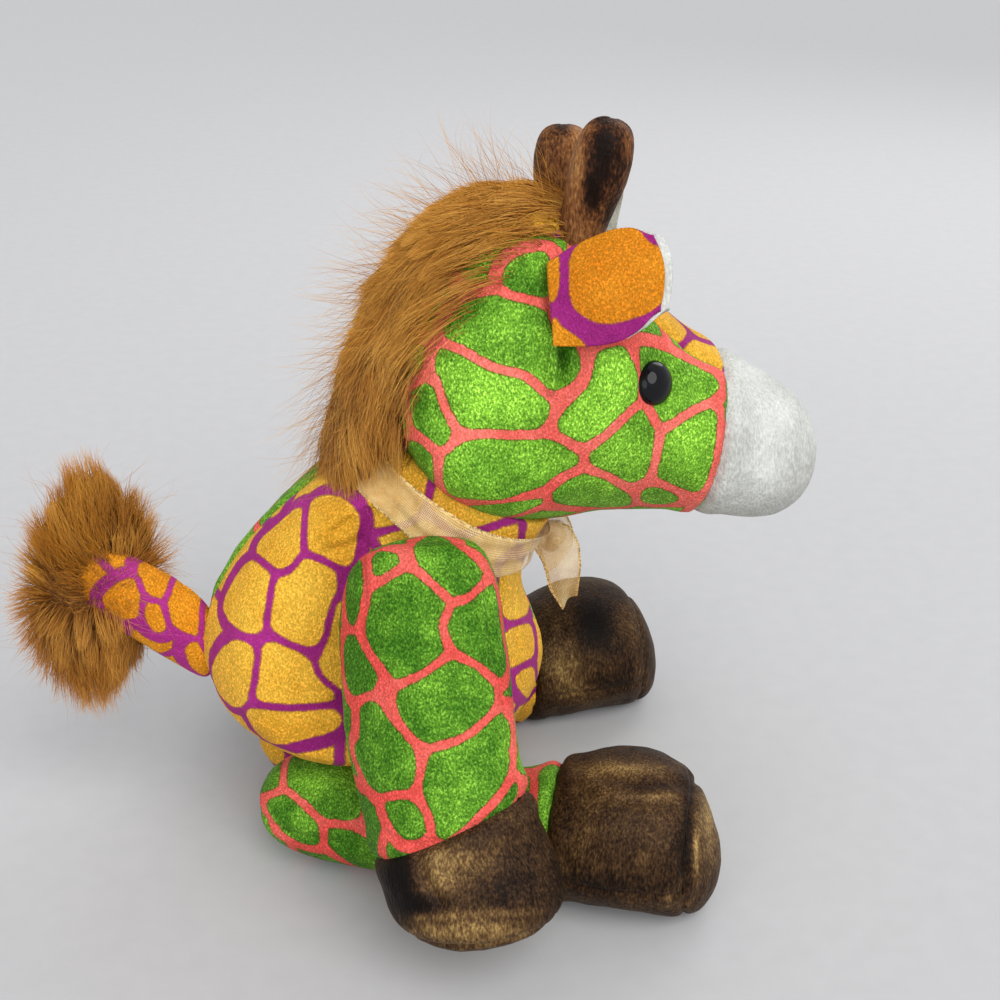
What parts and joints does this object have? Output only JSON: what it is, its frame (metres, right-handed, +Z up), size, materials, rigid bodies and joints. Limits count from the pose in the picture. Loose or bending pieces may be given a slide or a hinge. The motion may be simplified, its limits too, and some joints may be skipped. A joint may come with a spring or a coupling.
{
  "type": "plush giraffe",
  "caption": "Sitting plush giraffe with patterned velour skins, soft hooves, horns, ears, a fur mane and tail tuft, and a ribbon round its neck.",
  "frame": {"origin": "on the plane it sits on, under the middle of its bounding box", "axes": "+X the way it faces, +Y to its left side, +Z up"},
  "size_m": [0.1779, 0.1471, 0.1671],
  "materials": {
    "green_velour": "short pile",
    "yellow_velour": "short pile",
    "brown_velvet": "crushed velvet",
    "white_velvet": "crushed velvet",
    "golden_fur": "long fur",
    "filling": "fibre",
    "black_plastic": "gloss",
    "white_plastic": "matte",
    "ribbon": "sheer organza"
  },
  "bodies": {
    "torso": {"body_panel_right": "yellow_velour", "body_panel_left": "green_velour", "body_filling": "filling", "seat_bean_pouch": "filling", "ribbon_band": "ribbon", "ribbon_knot": "ribbon", "ribbon_end_right": "ribbon", "ribbon_end_left": "ribbon"},
    "head": {"head_side_panel_right": "green_velour", "head_side_panel_left": "green_velour", "forehead_gusset": "yellow_velour", "chin_gusset": "yellow_velour", "muzzle": "white_velvet", "head_filling": "filling", "mane": "golden_fur", "eye_right": "black_plastic", "eye_left": "black_plastic", "eye_washer_right": "white_plastic", "eye_washer_left": "white_plastic", "horn_right": "brown_velvet", "horn_left": "brown_velvet"},
    "ear_right": {"ear_outer_right": "yellow_velour", "ear_lining_right": "white_velvet"},
    "ear_left": {"ear_outer_left": "yellow_velour", "ear_lining_left": "white_velvet"},
    "arm_right": {"arm_right_skin": "green_velour", "arm_right_hoof": "brown_velvet", "arm_right_sole": "brown_velvet", "arm_right_filling": "filling"},
    "arm_left": {"arm_left_skin": "green_velour", "arm_left_hoof": "brown_velvet", "arm_left_sole": "brown_velvet", "arm_left_filling": "filling"},
    "leg_right": {"leg_right_skin": "green_velour", "leg_right_hoof": "brown_velvet", "leg_right_sole": "brown_velvet", "leg_right_filling": "filling"},
    "leg_left": {"leg_left_skin": "yellow_velour", "leg_left_hoof": "brown_velvet", "leg_left_sole": "brown_velvet", "leg_left_filling": "filling"},
    "tail": {"tail_skin": "yellow_velour", "tail_filling": "filling", "tail_tuft": "golden_fur"}
  },
  "joints": [
    {"name": "head_turn", "type": "hinge", "parent": "torso", "child": "head", "pos_m": [0.01008, 0, 0.09029], "axis": [0.515, 0, 0.8572], "range_deg": [-25, 25]},
    {"name": "shoulder_right_swing", "type": "hinge", "parent": "torso", "child": "arm_right", "pos_m": [0.005, -0.025, 0.0815], "axis": [-0.4226, -0.9063, 0], "range_deg": [0, 80]},
    {"name": "shoulder_left_swing", "type": "hinge", "parent": "torso", "child": "arm_left", "pos_m": [0.005, 0.025, 0.0815], "axis": [0.4226, -0.9063, 0], "range_deg": [0, 80]},
    {"name": "hip_right_swing", "type": "hinge", "parent": "torso", "child": "leg_right", "pos_m": [-0.0265, -0.015, 0.0131], "axis": [0.3173, 0.9483, 0], "range_deg": [0, 75]},
    {"name": "hip_left_swing", "type": "hinge", "parent": "torso", "child": "leg_left", "pos_m": [-0.0265, 0.015, 0.0131], "axis": [-0.2924, 0.9563, 0], "range_deg": [0, 75]},
    {"name": "tail_swing", "type": "hinge", "parent": "torso", "child": "tail", "pos_m": [-0.0519, 0, 0.052], "axis": [0, 0, 1], "range_deg": [-35, 35]},
    {"name": "ear_right_fold", "type": "hinge", "parent": "head", "child": "ear_right", "pos_m": [0.0245, -0.0234, 0.134], "axis": [0, -0.5, -0.866], "range_deg": [0, 60]},
    {"name": "ear_left_fold", "type": "hinge", "parent": "head", "child": "ear_left", "pos_m": [0.0245, 0.0234, 0.134], "axis": [0, -0.5, 0.866], "range_deg": [0, 60]}
  ]
}
